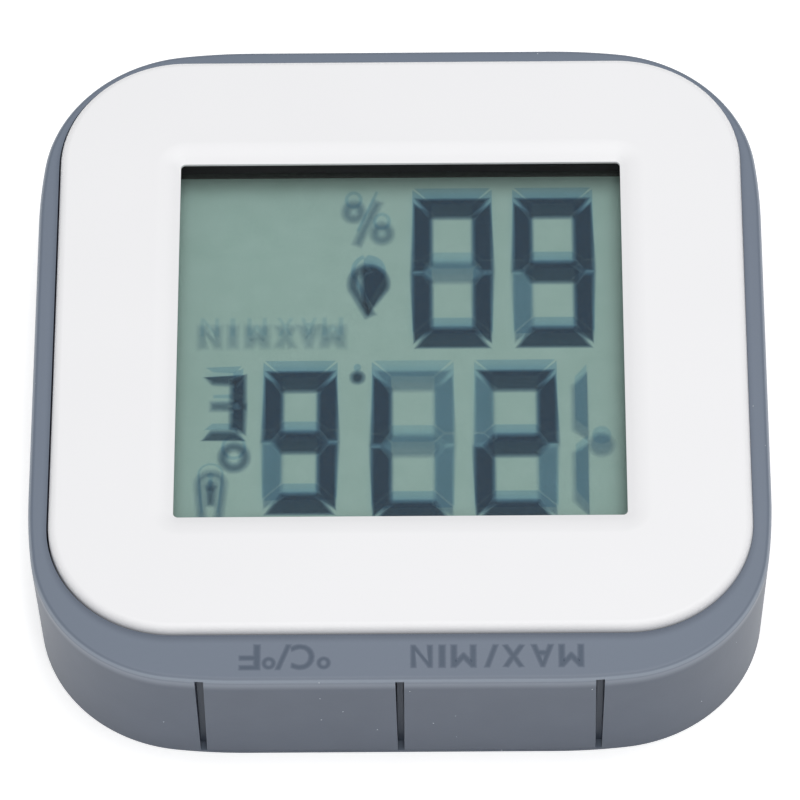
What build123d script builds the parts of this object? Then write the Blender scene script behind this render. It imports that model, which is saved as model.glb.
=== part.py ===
from build123d import *
import math
import os

# Square room thermometer and hygrometer, lying on its back with the display up.
# Millimetres. The origin is the middle of the footprint on the resting plane.
# +Z is out of the display, -Y is the edge with the two push buttons, which is the
# top of the instrument when it is read, and +Y is the edge that it can stand on.

# Rubber sleeve
sleeve_width = 60.0
sleeve_length = 62.0
sleeve_height = 11.7
sleeve_corner_radius = 12.9
sleeve_ease_radius = 48.0
sleeve_ease_angle = 7.0
sleeve_draft_angle = 1.6
arris_chamfer = 0.35
near_shoulder = 4.45
far_shoulder = 1.45
side_shoulder = 1.65
shoulder_thickness = 1.5
rear_lip_thickness = 0.9
rear_lip_width = 2.2
sleeve_fit = 0.08

# Rubber push flaps, cut free at their sides and foot and hinged at the arris
flap_share = 0.2653
flap_thickness = 1.5
slit_top_width = 0.7
slit_foot_width = 0.5
flap_foot_height = 0.35
flap_air = 1.1
hinge_drop = 1.3
hinge_gap = 0.05
nub_radius = 1.6
nub_dome_radius = 3.2
nub_gap = 0.03

# Face plate
plate_rise = 0.7
plate_thickness = 1.6
plate_depth = 2.8
plate_corner_radius = 10.3
plate_edge_radius = 0.7
window_side_border = 10.05
window_end_border = 10.65
window_offset = -0.1
window_corner_radius = 0.4
dish_width = 1.53
dish_drop = 0.58
window_lip = 0.3

# Case, in two mouldings: the face plate and the back cover
case_wall = 1.4
case_floor = 1.5
back_inset = 0.3
back_edge_chamfer = 0.25
joint_gap = 0.05
tongue_height = 1.0
tongue_thickness = 0.65
catch_x = 14.0
catch_width = 5.0
catch_height = 0.5
catch_reach = 0.35

# Liquid crystal display, from the front down
display_depth = 2.2
polariser_thickness = 0.2
glass_thickness = 0.7
crystal_gap = 0.05
rear_film_thickness = 0.25
glass_border = 2.0
contact_ledge = 2.6
film_border = 1.2
gasket_width = 1.9
gasket_set_back = 0.06
carrier_wall = 1.0
carrier_shelf = 1.1
carrier_clearance = 0.1
zebra_width = 1.6
zebra_end_gap = 2.0

# Circuit board and what is soldered to it
board_thickness = 1.0
board_clearance = 0.3
blob_radius = 4.5
blob_height = 1.2
blob_edge = 0.7
blob_from_far_edge = 6.5
can_radius = 1.0
can_length = 6.0
can_x = 8.5
can_from_far_edge = 6.0
chip_length = 2.0
chip_width = 1.25
chip_height = 0.8
chip_pitch = 3.4
chip_count = 4
chip_from_side_edge = 11.15
chip_from_far_edge = 4.6
sensor_length = 8.0
sensor_width = 5.0
sensor_height = 0.8
bead_radius = 0.8
bead_length = 2.4
bead_drop = 1.9
lead_width = 0.5
lead_pitch = 1.27
bead_from_sensor = 5.6

# Tactile switches that push out towards the flaps
switch_width = 6.0
switch_depth = 3.4
switch_height = 3.3
switch_gap = 0.4
plunger_radius = 1.4
plunger_fit = 0.05
plunger_tail = 1.0
plunger_over_travel = 0.6
plunger_height = 4.6
plunger_stand_off = 0.35
plunger_hole_gap = 0.3

# Battery, its contacts, its well and its door
cell_radius = 10.0
cell_height = 3.2
cell_cap_radius = 8.7
cell_cap_step = 0.3
cell_gap = 0.05
door_rim = 2.0
door_thickness = 1.5
door_fit = 0.15
door_edge = 0.25
lug_from_cell = 0.6
lug_foot_inset = 0.2
lug_reach = 1.2
lug_gap = 0.1
lug_thickness = 1.0
lug_angle = 26.0
lug_count = 3
door_turn = 40.0
coin_slot_length = 14.0
coin_slot_width = 1.8
coin_slot_depth = 0.8
well_fit = 0.4
well_wall = 1.0
well_clearance = 0.73
well_shelf = 1.2
shelf_gap = 0.15
contact_thickness = 0.2
contact_width = 3.0
contact_foot = 3.4
contact_notch = 0.5
contact_reach = 2.7
negative_pad = 7.0
finger_tip = 0.5

# Folding stand
leg_width = 21.0
leg_from_well = 2.15
leg_end_border = 4.35
leg_thickness = 1.6
leg_corner_share = 0.226
leg_knuckle_radius = 0.95
leg_stub_radius = 0.7
leg_stub_length = 1.2
leg_running_gap = 0.05
leg_side_gap = 0.25
leg_top_gap = 0.15
leg_inset = 0.1
leg_dish = 0.4
leg_dish_share = 0.7
recess_wall = 1.1
scoop_width = 9.0
scoop_length = 1.6
scoop_depth = 1.0
scoop_radius = 1.5

# Screws and vents
screw_side_inset = 4.35
case_screw_inset = 9.55
screw_head_radius = 1.7
screw_head_height = 1.1
screw_radius = 1.0
screw_length = 7.0
screw_fit = 0.05
screw_sink = 0.5
head_clearance = 0.15
post_radius = 2.2
post_split_height = 3.2
cross_width = 0.5
cross_depth = 0.5
cross_share = 1.3
vent_side_inset = 8.85
vent_end_inset = 17.55
vent_width = 0.9
vent_length = 8.0
vent_pitch = 2.0
vent_count = 4
overrun = 1.0

# Heights above the resting plane
plate_top = sleeve_height + plate_rise
plate_under = plate_top - plate_thickness
parting = plate_top - plate_depth
ledge_top = sleeve_height - shoulder_thickness
ledge_under = ledge_top - case_wall
floor_top = back_inset + case_floor
display_top = plate_top - display_depth
front_glass_top = display_top - polariser_thickness
crystal_top = front_glass_top - glass_thickness
rear_glass_top = crystal_top - crystal_gap
rear_film_top = rear_glass_top - glass_thickness
rear_film_under = rear_film_top - rear_film_thickness
board_top = rear_film_under - carrier_shelf
board_under = board_top - board_thickness
hinge_height = sleeve_height - hinge_drop
cell_under = back_inset + door_thickness + cell_gap
cell_top = cell_under + cell_height
lug_under = floor_top + lug_gap
lug_top = lug_under + lug_thickness
shelf_under = lug_top + shelf_gap
leg_under = back_inset + leg_inset
leg_axis_height = leg_under + leg_knuckle_radius

# Places across and along
plate_width = sleeve_width - 2 * side_shoulder
plate_far = sleeve_length / 2 - far_shoulder
plate_near = near_shoulder - sleeve_length / 2
plate_length = plate_far - plate_near
plate_y = (plate_far + plate_near) / 2
flap_inner = flap_thickness - sleeve_length / 2
case_near = flap_inner + flap_air
case_length = plate_far - case_near
case_y = (plate_far + case_near) / 2
window_width = plate_width - 2 * window_side_border
window_length = plate_length - 2 * window_end_border
window_y = plate_y + window_offset
flap_pitch = flap_share * sleeve_width
hinge_y = (flap_thickness - sleeve_length) / 2
plunger_tip = case_near - plunger_stand_off
switch_front = case_near + case_wall + switch_gap
switch_x = flap_pitch / 2
screw_x = plate_width / 2 - screw_side_inset
board_near = plate_near + case_wall + board_clearance
board_far = plate_far - case_wall - board_clearance
board_width = plate_width - 2 * (case_wall + board_clearance)
chip_rows_x = board_width / 2 - chip_from_side_edge
vent_x = vent_side_inset - plate_width / 2
vent_y = plate_far - vent_end_inset
carrier_width = window_width + 2 * (glass_border + carrier_clearance + carrier_wall)
front_glass_length = window_length + 2 * glass_border + contact_ledge
front_glass_y = window_y - contact_ledge / 2
door_radius = cell_radius + door_rim
lug_inner_radius = cell_radius + lug_from_cell
well_outer_radius = door_radius + lug_reach + door_fit + well_wall
well_beside_switch = math.sqrt(well_outer_radius ** 2 - (switch_x - switch_width / 2) ** 2)
battery_y = switch_front + switch_depth + well_clearance + well_beside_switch
leg_hinge_y = battery_y + well_outer_radius + leg_from_well
leg_length = plate_far - leg_hinge_y - leg_end_border
leg_corner_radius = leg_corner_share * leg_length
tongue_foot = parting - tongue_height


def slab(face, low, high):
    """A flat face raised from one height to another."""
    return extrude(Pos(0, 0, low) * face, amount=high - low)


def rounded(width, length, radius, y=0.0, x=0.0):
    """A rounded rectangle about a point."""
    return Pos(x, y) * RectangleRounded(width, length, radius)


def disc(radius, x=0.0, y=0.0):
    """A round face about a point."""
    return Pos(x, y) * Circle(radius)


def block(x_low, x_high, y_low, y_high, z_low, z_high):
    """A box between two corners."""
    middle = Pos((x_low + x_high) / 2, (y_low + y_high) / 2, (z_low + z_high) / 2)
    return middle * Box(x_high - x_low, y_high - y_low, z_high - z_low)


def rod_along_y(radius, x, z, y_low, y_high):
    """A round rod between two places along Y."""
    return Pos(x, (y_low + y_high) / 2, z) * Rot(90, 0, 0) * Cylinder(radius, y_high - y_low)


def rod_along_x(radius, y, z, x_low, x_high):
    """A round rod between two places along X."""
    return Pos((x_low + x_high) / 2, y, z) * Rot(0, 90, 0) * Cylinder(radius, x_high - x_low)


def eased_outline(width, length, corner_radius):
    """A rounded rectangle whose corners start and end in long gentle arcs."""
    ease = math.radians(sleeve_ease_angle)
    reach = sleeve_ease_radius * (math.sin(ease) + 1 - math.cos(ease))
    reach += corner_radius * (math.cos(ease) - math.sin(ease))
    corner = (
        (sleeve_ease_radius, sleeve_ease_angle),
        (corner_radius, 90 - 2 * sleeve_ease_angle),
        (sleeve_ease_radius, sleeve_ease_angle),
    )
    start = Vector(reach - width / 2, length / 2)
    heading = Vector(1, 0)
    edges = []
    for straight in (width, length, width, length):
        edges.append(Line(start, start + heading * (straight - 2 * reach)))
        for radius, angle in corner:
            edges.append(JernArc(edges[-1] @ 1, edges[-1] % 1, radius, -angle))
        start = edges[-1] @ 1
        heading = edges[-1] % 1
    return make_face(edges)


def plate_face(inset=0.0):
    """The outline of the face plate, moved inwards."""
    size = plate_corner_radius - inset
    return rounded(plate_width - 2 * inset, plate_length - 2 * inset, size, plate_y)


def case_face(inset=0.0):
    """The outline of the case under the sleeve, moved inwards."""
    size = plate_corner_radius - inset
    return rounded(plate_width - 2 * inset, case_length - 2 * inset, size, case_y)


def window_face(grow=0.0):
    """The outline of the display window, moved outwards."""
    return rounded(window_width + 2 * grow, window_length + 2 * grow, window_corner_radius, window_y)


def case_screw_places():
    return [(side * screw_x, plate_near + case_screw_inset) for side in (-1, 1)]


def sleeve_blank():
    """The sleeve's outside, narrower at the foot, with its soft arris."""
    top = Pos(0, 0, sleeve_height) * eased_outline(sleeve_width, sleeve_length, sleeve_corner_radius)
    solid = extrude(top, amount=-sleeve_height, taper=sleeve_draft_angle)
    return chamfer(solid.edges().group_by(Axis.Z)[-1], arris_chamfer)


def flap_outline(left, right, grow_top, grow_foot):
    """A flap or its gap seen from the front, from below its foot up to the hinge line."""
    foot = -overrun
    corners = [
        (left - grow_foot, foot),
        (right + grow_foot, foot),
        (right + grow_top, hinge_height),
        (left - grow_top, hinge_height),
    ]
    return make_face(Polyline(corners, close=True))


def upright(face, y_low, y_high):
    """A face drawn in X and Z, given depth along Y."""
    return extrude(Plane.XZ.offset(-y_high) * face, amount=y_high - y_low)


def rubber_sleeve(blank):
    """One moulding: walls, shoulder, rear lip, and a gap for the two flaps."""
    body = blank - slab(plate_face(-sleeve_fit), ledge_top - overrun, plate_top)
    body -= slab(case_face(-sleeve_fit), rear_lip_thickness, ledge_top)
    body -= slab(case_face(rear_lip_width), -overrun, rear_lip_thickness + overrun)
    outer = -sleeve_length / 2 - overrun
    gap = flap_outline(-flap_pitch, flap_pitch, slit_top_width / 2, slit_foot_width / 2)
    body -= upright(gap, outer, case_near)
    span = flap_pitch + slit_top_width / 2
    body -= rod_along_x(flap_thickness / 2 + hinge_gap, hinge_y, hinge_height, -span, span)
    body -= block(-span, span, hinge_y, case_near, hinge_height - overrun, ledge_top)
    return body


def flap(blank, left):
    """A push flap with a half round top that turns in the sleeve, and its press nub."""
    right = left + flap_pitch
    outer = -sleeve_length / 2 - overrun
    face = flap_outline(left, right, -slit_top_width / 2, -slit_foot_width / 2)
    body = blank & upright(face, outer, flap_inner)
    ends = (left + slit_top_width / 2, right - slit_top_width / 2)
    body += blank & rod_along_x(flap_thickness / 2, hinge_y, hinge_height, *ends)
    body -= block(left, right, outer, case_near, -overrun, flap_foot_height)
    middle = (left + right) / 2
    tip = plunger_tip - nub_gap
    nub = rod_along_y(nub_radius, middle, plunger_height, flap_inner - flap_thickness / 2, tip)
    dome = Pos(middle, tip - nub_dome_radius, plunger_height) * Sphere(nub_dome_radius)
    return body + (nub & dome)


def face_plate():
    """The white front: rounded edge, dished window surround, and hollow below."""
    body = slab(plate_face(), parting, plate_top)
    body = fillet(body.edges().group_by(Axis.Z)[-1], plate_edge_radius)
    body -= slab(plate_face(case_wall), parting, plate_under)
    body += slab(plate_face(joint_gap + case_wall - tongue_thickness), tongue_foot, parting + joint_gap)
    body -= slab(plate_face(joint_gap + case_wall), tongue_foot, plate_under)
    body += catches(0.0)
    for x, y in case_screw_places():
        body += slab(disc(post_radius, x, y), post_split_height, plate_under)
        body -= slab(disc(screw_radius + screw_fit, x, y), post_split_height, plate_under)
    body -= slab(window_face(), parting, plate_top)
    dish_floor = plate_top - dish_drop
    dish_slope = math.degrees(math.atan(dish_width / dish_drop))
    body -= extrude(Pos(0, 0, dish_floor) * window_face(), amount=dish_drop, taper=-dish_slope)
    return body - slab(window_face(gasket_width + joint_gap), parting, dish_floor - window_lip)


def catches(grow):
    """The hooks on the tongue that snap into the far wall, or their pockets."""
    middle = plate_far - joint_gap - case_wall + tongue_thickness / 2
    outer = plate_far - case_wall + tongue_thickness + catch_reach - joint_gap + grow
    half = catch_width / 2 + grow
    low = tongue_foot - grow
    high = tongue_foot + catch_height + grow
    return [block(x - half, x + half, middle, outer, low, high) for x in (-catch_x, catch_x)]


def lcd_gasket():
    """The black foam frame between the face plate and the display."""
    face = window_face(gasket_width) - window_face(gasket_set_back)
    return slab(face, display_top, plate_top - dish_drop - window_lip)


def sheet(low, high, border=film_border, ledge=0.0):
    """A flat layer of the display, with an optional contact ledge at the near side."""
    length = window_length + 2 * border + ledge
    face = Pos(0, window_y - ledge / 2) * Rectangle(window_width + 2 * border, length)
    return slab(face, low, high)


def lcd_carrier():
    """The frame that holds the display flat over the circuit board."""
    length = front_glass_length + 2 * (carrier_clearance + carrier_wall)
    body = slab(Pos(0, front_glass_y) * Rectangle(carrier_width, length), board_top, plate_under)
    body -= slab(window_face(), board_top, plate_under)
    for border, ledge, low in ((film_border, 0, rear_film_under), (glass_border, 0, rear_film_top)):
        body -= sheet(low, plate_under, border + carrier_clearance, ledge)
    body -= sheet(crystal_top, plate_under, glass_border + carrier_clearance, contact_ledge)
    return body - zebra_space(carrier_clearance)


def zebra_space(grow):
    """The upright slot or strip that links the glass to the board."""
    middle = window_y - window_length / 2 - glass_border - contact_ledge / 2
    half = window_width / 2 - zebra_end_gap + grow
    depth = zebra_width / 2 + grow
    return block(-half, half, middle - depth, middle + depth, board_top, crystal_top)


def circuit_board():
    radius = plate_corner_radius - case_wall - board_clearance
    face = rounded(board_width, board_far - board_near, radius, (board_far + board_near) / 2)
    room = post_radius + board_clearance
    for x, y in case_screw_places():
        edge = math.copysign(board_width / 2 + room, x)
        notch = Pos((x + edge) / 2, y) * Rectangle(abs(edge - x), 2 * room)
        face -= disc(room, x, y) + notch
    return slab(face, board_under, board_top)


def chip_blob():
    """The flat drop of black resin over the bare chip."""
    drop = slab(disc(blob_radius), board_under - blob_height, board_under)
    drop = chamfer(drop.edges().group_by(Axis.Z)[0], blob_edge)
    return Pos(0, board_far - blob_from_far_edge) * drop


def crystal_can():
    """The clock crystal in its small round can, lying under the board."""
    high = board_far - can_from_far_edge
    return rod_along_y(can_radius, can_x, board_under - can_radius, high - can_length, high)


def chip_parts():
    """Two rows of small chip resistors and capacitors."""
    parts = []
    first = board_far - chip_from_far_edge
    for side in (-1, 1):
        for step in range(chip_count):
            place = Pos(side * chip_rows_x, first - step * chip_pitch, board_under - chip_height / 2)
            parts.append(place * Box(chip_length, chip_width, chip_height))
    return Compound(parts)


def humidity_sensor():
    """The humidity sensing plate, behind the vents."""
    face = Pos(vent_x, vent_y) * Rectangle(sensor_width, sensor_length)
    return slab(face, board_under - sensor_height, board_under)


def thermistor():
    """A small glass thermistor on two short leads."""
    y = vent_y - bead_from_sensor
    half = bead_length / 2
    bead = rod_along_x(bead_radius, y, board_under - bead_drop, vent_x - half, vent_x + half)
    for side in (-1, 1):
        lead = Pos(vent_x + side * lead_pitch / 2, y) * Rectangle(lead_width, lead_width)
        bead += slab(lead, board_under - bead_drop, board_under)
    return bead


def switch_body(x):
    """A side push switch under the near edge of the board."""
    face = Pos(x, switch_front + switch_depth / 2) * Rectangle(switch_width, switch_depth)
    body = slab(face, board_under - switch_height, board_under)
    end = switch_front + plunger_tail + plunger_over_travel
    return body - rod_along_y(plunger_radius + plunger_fit, x, plunger_height, switch_front, end)


def switch_plunger(x):
    return rod_along_y(plunger_radius, x, plunger_height, plunger_tip, switch_front + plunger_tail)


def case_screws():
    """Pan head screws that point up, with a cross recess in each head."""
    screw = slab(disc(screw_head_radius), -screw_head_height, 0) + slab(disc(screw_radius), 0, screw_length)
    arm = screw_head_radius * cross_share
    for size in ((arm, cross_width), (cross_width, arm)):
        screw -= slab(Rectangle(*size), -screw_head_height, cross_depth - screw_head_height)
    seat = back_inset + screw_sink + screw_head_height
    return Compound([Pos(x, y, seat) * screw for x, y in case_screw_places()])


def coin_cell():
    """A lithium coin cell with its smaller negative cap towards the board."""
    step = cell_top - cell_cap_step
    return Pos(0, battery_y) * (slab(disc(cell_radius), cell_under, step) + slab(disc(cell_cap_radius), step, cell_top))


def negative_contact():
    """A pad on the board with one sprung finger that presses on the cap."""
    pad_low = board_under - contact_thickness
    half = negative_pad / 2
    profile = [
        (-half, board_under),
        (half, board_under),
        (half, pad_low),
        (-half + contact_thickness, pad_low),
        (half - finger_tip, cell_top + contact_thickness),
        (half, cell_top + contact_thickness),
        (half, cell_top),
        (half - finger_tip - contact_thickness, cell_top),
        (-half, pad_low),
    ]
    side = make_face(Polyline(profile, close=True))
    strip = extrude(Plane.YZ.offset(-contact_width / 2) * side, amount=contact_width)
    return Pos(0, battery_y) * strip


def positive_contact():
    """An angled strip soldered to the board that touches the rim of the cell."""
    inner = battery_y + cell_radius
    half = contact_width / 2
    low = board_under - contact_thickness
    foot = block(-half, half, inner, inner + contact_foot, low, board_under)
    low = board_under - contact_reach
    return foot + block(-half, half, inner, inner + contact_thickness, low, board_under)


def ring_sector(inner, outer, angle, width):
    """A flat piece of a ring, centred on an angle."""
    long = outer * 2
    half = math.radians(width) / 2
    spread = long * math.tan(half)
    wedge = make_face(Polyline([(0, 0), (long, -spread), (long, spread)], close=True))
    return Rot(0, 0, angle) * ((Circle(outer) - Circle(inner)) & wedge)


def battery_door():
    """A round door that turns by a coin, with three lugs behind the back cover."""
    body = slab(disc(door_radius), back_inset, back_inset + door_thickness)
    body = chamfer(body.edges().group_by(Axis.Z)[0], door_edge)
    for step in range(lug_count):
        angle = step * 360 / lug_count
        foot = ring_sector(lug_inner_radius, door_radius - lug_foot_inset, angle, lug_angle)
        lug = ring_sector(lug_inner_radius, door_radius + lug_reach, angle, lug_angle)
        body += slab(foot, back_inset + door_thickness, lug_top)
        body += slab(lug, lug_under, lug_top)
    slot = RectangleRounded(coin_slot_length, coin_slot_width, coin_slot_width / 2 - door_edge)
    body -= slab(slot, back_inset, back_inset + coin_slot_depth)
    return Pos(0, battery_y) * body


def battery_well():
    """The ring that the lugs turn in, with the shelf that centres the cell."""
    inner = cell_radius + well_fit
    wall = disc(well_outer_radius) - disc(well_outer_radius - well_wall)
    shelf = disc(well_outer_radius) - disc(inner)
    shelf -= Pos(0, inner) * Rectangle(contact_width + 2 * contact_notch, contact_foot)
    body = slab(wall, floor_top - joint_gap, shelf_under + well_shelf)
    return Pos(0, battery_y) * (body + slab(shelf, shelf_under, shelf_under + well_shelf))


def door_opening():
    """The round hole with three notches where the lugs go in."""
    face = disc(door_radius + door_fit)
    reach = door_radius + lug_reach + door_fit
    spread = lug_angle + math.degrees(2 * door_fit / door_radius)
    for step in range(lug_count):
        face += ring_sector(lug_inner_radius, reach, door_turn + step * 360 / lug_count, spread)
    return Pos(0, battery_y) * face


def leg_face(grow, near):
    """The leg's plan, square at its hinge end and rounded at its free end."""
    far = leg_hinge_y + leg_length + grow
    middle = (near + far) / 2
    face = rounded(leg_width + 2 * grow, far - near, leg_corner_radius + grow, middle)
    return face + Pos(0, (near + middle) / 2) * Rectangle(leg_width + 2 * grow, middle - near)


def leg_recess(grow=0.0):
    """The space that the folded leg lies in, or the walls round it."""
    near = leg_hinge_y - leg_knuckle_radius - leg_side_gap - grow
    deep = leg_axis_height + leg_knuckle_radius + leg_top_gap + grow
    return slab(leg_face(leg_side_gap + grow, near), back_inset - overrun, deep)


def stand_leg():
    """The fold-out leg, with stub pins at its hinge end and a dished inner face."""
    half = leg_width / 2
    middle = leg_hinge_y + leg_length / 2
    body = slab(leg_face(0.0, leg_hinge_y), leg_under, leg_under + leg_thickness)
    body = chamfer(body.faces().sort_by(Axis.Z)[-1].edges().sort_by(Axis.Y)[-1], leg_dish)
    border = leg_length * (1 - leg_dish_share)
    dish = rounded(leg_width - border, leg_length - border, leg_corner_radius / 2, middle)
    body -= slab(dish, leg_under + leg_thickness - leg_dish, leg_under + leg_thickness)
    body += rod_along_x(leg_knuckle_radius, leg_hinge_y, leg_axis_height, -half, half)
    reach = half + leg_side_gap + leg_stub_length
    return body + rod_along_x(leg_stub_radius, leg_hinge_y, leg_axis_height, -reach, reach)


def back_cover():
    """The deep rear moulding: battery well, stand recess, vents, posts and rebates."""
    body = slab(case_face(), back_inset, ledge_top)
    body = chamfer(body.edges().group_by(Axis.Z)[0], back_edge_chamfer)
    body -= slab(case_face(case_wall), floor_top, ledge_under)
    body -= slab(plate_face(-joint_gap), parting, ledge_top)
    body -= slab(plate_face(case_wall - tongue_thickness), tongue_foot - joint_gap, parting)
    body -= slab(plate_face(case_wall), floor_top, tongue_foot - joint_gap)
    body -= catches(joint_gap)
    lip_space = case_face() - case_face(rear_lip_width + sleeve_fit)
    body -= slab(lip_space, back_inset, rear_lip_thickness + sleeve_fit)
    body += battery_well()
    body -= slab(door_opening(), back_inset, floor_top)
    body += leg_recess(recess_wall) & slab(case_face(case_wall), back_inset, parting)
    body -= leg_recess()
    scoop = rounded(scoop_width, 2 * scoop_length, scoop_radius, leg_hinge_y + leg_length)
    body -= slab(scoop, back_inset, back_inset + scoop_depth)
    reach = leg_width / 2 + leg_side_gap + leg_stub_length + leg_running_gap
    body -= rod_along_x(leg_stub_radius + leg_running_gap, leg_hinge_y, leg_axis_height, -reach, reach)
    seat = back_inset + screw_sink + screw_head_height
    for x, y in case_screw_places():
        body += slab(disc(post_radius, x, y), floor_top - joint_gap, post_split_height)
        body -= slab(disc(screw_head_radius + head_clearance, x, y), back_inset, seat)
        body -= slab(disc(screw_radius + screw_fit, x, y), seat, post_split_height)
    for step in range(vent_count):
        x = vent_x + (step - (vent_count - 1) / 2) * vent_pitch
        slot = Pos(x, vent_y) * Rectangle(vent_width, vent_length)
        body -= slab(slot, back_inset, floor_top)
    for x in (-switch_x, switch_x):
        radius = plunger_radius + plunger_hole_gap
        body -= rod_along_y(radius, x, plunger_height, case_near, case_near + case_wall)
    return body


def build():
    """Every piece of the instrument, under the name of its node."""
    blank = sleeve_blank()
    return {
        "rubber_sleeve": rubber_sleeve(blank),
        "unit_button": flap(blank, -flap_pitch),
        "max_min_button": flap(blank, 0.0),
        "face_plate": face_plate(),
        "lcd_gasket": lcd_gasket(),
        "front_polariser": sheet(front_glass_top, display_top),
        "lcd_front_glass": sheet(crystal_top, front_glass_top, glass_border, contact_ledge),
        "liquid_crystal": sheet(rear_glass_top, crystal_top),
        "lcd_rear_glass": sheet(rear_film_top, rear_glass_top, glass_border),
        "rear_reflector": sheet(rear_film_under, rear_film_top),
        "lcd_carrier": lcd_carrier(),
        "zebra_strip": zebra_space(0.0),
        "circuit_board": circuit_board(),
        "chip_blob": chip_blob(),
        "crystal_can": crystal_can(),
        "chip_parts": chip_parts(),
        "humidity_sensor": humidity_sensor(),
        "thermistor": thermistor(),
        "unit_switch_body": switch_body(-switch_x),
        "unit_switch_plunger": switch_plunger(-switch_x),
        "max_min_switch_body": switch_body(switch_x),
        "max_min_switch_plunger": switch_plunger(switch_x),
        "coin_cell": coin_cell(),
        "positive_contact": positive_contact(),
        "negative_contact": negative_contact(),
        "back_cover": back_cover(),
        "battery_door": battery_door(),
        "stand_leg": stand_leg(),
        "case_screws": case_screws(),
    }


os.makedirs("parts", exist_ok=True)
for node, shape in build().items():
    export_step(shape, f"parts/{node}.step")
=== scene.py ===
import math
from collections import namedtuple

import bmesh
import bpy
from mathutils import Matrix, Vector


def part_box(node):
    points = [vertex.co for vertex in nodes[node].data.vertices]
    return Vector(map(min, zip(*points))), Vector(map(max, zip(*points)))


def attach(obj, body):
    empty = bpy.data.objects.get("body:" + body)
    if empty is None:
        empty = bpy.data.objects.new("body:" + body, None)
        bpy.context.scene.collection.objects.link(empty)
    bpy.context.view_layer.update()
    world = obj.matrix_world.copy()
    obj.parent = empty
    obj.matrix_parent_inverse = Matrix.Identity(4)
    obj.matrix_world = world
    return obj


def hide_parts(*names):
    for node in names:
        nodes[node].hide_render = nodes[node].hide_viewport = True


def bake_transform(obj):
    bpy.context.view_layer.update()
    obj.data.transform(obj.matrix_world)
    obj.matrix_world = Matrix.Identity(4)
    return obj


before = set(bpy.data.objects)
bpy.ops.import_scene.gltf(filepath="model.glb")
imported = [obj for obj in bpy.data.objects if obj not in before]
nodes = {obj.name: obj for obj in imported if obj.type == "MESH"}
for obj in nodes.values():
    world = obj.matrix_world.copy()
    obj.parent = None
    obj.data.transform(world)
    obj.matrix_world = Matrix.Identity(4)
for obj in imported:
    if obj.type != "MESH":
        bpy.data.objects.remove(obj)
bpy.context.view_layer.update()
mm = 0.001

# Sizes shared with the CAD, taken from its nodes
sleeve_low, sleeve_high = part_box("rubber_sleeve")
plate_low, plate_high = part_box("face_plate")
case_low, case_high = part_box("back_cover")
crystal_low, crystal_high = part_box("liquid_crystal")
film_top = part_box("rear_reflector")[1][2]
gasket_low, gasket_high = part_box("lcd_gasket")
sleeve_width = sleeve_high[0] - sleeve_low[0]
sleeve_length = sleeve_high[1] - sleeve_low[1]
sleeve_top = sleeve_high[2]
plate_width = plate_high[0] - plate_low[0]
plate_far = plate_high[1]
plate_top = plate_high[2]
near_wall = sleeve_low[1]
case_near = case_low[1]
case_top = case_high[2]
crystal_middle = (crystal_low[2] + crystal_high[2]) / 2
gasket_size = (gasket_high[0] - gasket_low[0], gasket_high[1] - gasket_low[1])
gasket_middle = (gasket_low[1] + gasket_high[1]) / 2

# Rubber sleeve
corner_radius = 12.9 * mm
ease_radius = 48 * mm
ease_angle = math.radians(7)
draft_angle = math.radians(1.6)
arris_radius = 0.5 * mm
sleeve_fit = 0.08 * mm
near_shoulder = 4.45 * mm
rear_lip_thickness = 0.9 * mm
rear_lip_width = 2.2 * mm
# The pocket behind the flaps starts inside the near wall and ends inside the case's space
pocket_overlap = 0.1 * mm
pocket_reach = 0.2 * mm

# Painted highlight on the sleeve's arris and upper wall, painted light on the faces that look up,
# painted shade beside the plate, and lint. The normals are ranges of how far a face looks up, and
# the shares are how much of its tint a face takes.
# Painted highlight on the upper wall: the height where it starts, where it is full, and its share
highlight_foot = sleeve_top - 1.5 * mm
highlight_top = sleeve_top - 0.4 * mm
highlight_share = 0.6
rising_normals = (0.035, 0.45)
lying_normals = (0.75, 0.995)
# Painted shade on the shoulder beside the plate: its width, its shift towards the near side and the share of
# painted light left at the plate
plate_shade_width = 0.95 * mm
plate_shade_shift = 0.35 * mm
plate_shade_share = 0.15
bare_share_of_cells = 0.88

# Face plate
plate_middle = (plate_far + near_wall + near_shoulder) / 2
plate_length = plate_far - near_wall - near_shoulder
plate_corner_radius = 10.3 * mm
plate_depth = 2.8 * mm
plate_thickness = 1.6 * mm
plate_wall = 1.4 * mm
plate_edge_radius = 0.7 * mm
plate_shift = 0.06 * mm
dish_width = 1.2 * mm
dish_drop = 0.5 * mm
dish_edge = 0.8 * mm
# The dish's upper edge is looked for within this many dish widths of the window, and is
# where the surface turns by more than this many radians
dish_search = 1.3
dish_turn = 0.1
window_corner = 0.4 * mm
window_shift = 0.33 * mm
window_lip = 0.22 * mm
gasket_width = 1.9 * mm
gasket_gap = 0.05 * mm
gasket_recess = 0.26 * mm

# Push flaps and the slits beside them
flap_pitch = 15.918 * mm
flap_thickness = 1.5 * mm
slit_top_width = 0.7 * mm
slit_foot_width = 0.5 * mm
slit_top = 11.45 * mm
flap_seam = 11.0 * mm
flap_foot = 0.35 * mm
sill_top = 0.3 * mm
web_depth = 1.25 * mm
bend_end = 9.4 * mm
bend_loops = 8
nub_radius = 1.6 * mm
nub_dome_radius = 3.2 * mm
nub_height = 4.6 * mm
nub_gap = 0.03 * mm

# Steps of round forms, and degrees above which an edge stays crisp
upright_steps = 28
rim_steps = 9
ease_steps = 6
corner_steps = 40
dish_steps = 10
dome_steps = 6
ring_steps = 40
letter_steps = 5
crisp_angle = 32
plate_crisp_angle = 40

# How far a cutting block runs past what it cuts, and distances that count as none
overrun = 1 * mm
weld = 0.001 * mm
fine_weld = 0.0005 * mm
on_plane = 0.0001 * mm

# Patterns of the materials: scales in shares of a grain, ranges of a noise and its detail
grit_scale = 0.5
mottle_scale = 0.04
mottle_range = (0.3, 0.7)
grit_detail = 3.0
soft_detail = 2.0
haze_grain = 0.12 * mm
ink_grain = 0.1 * mm
ink_range = (0.6, 1.4)

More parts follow.
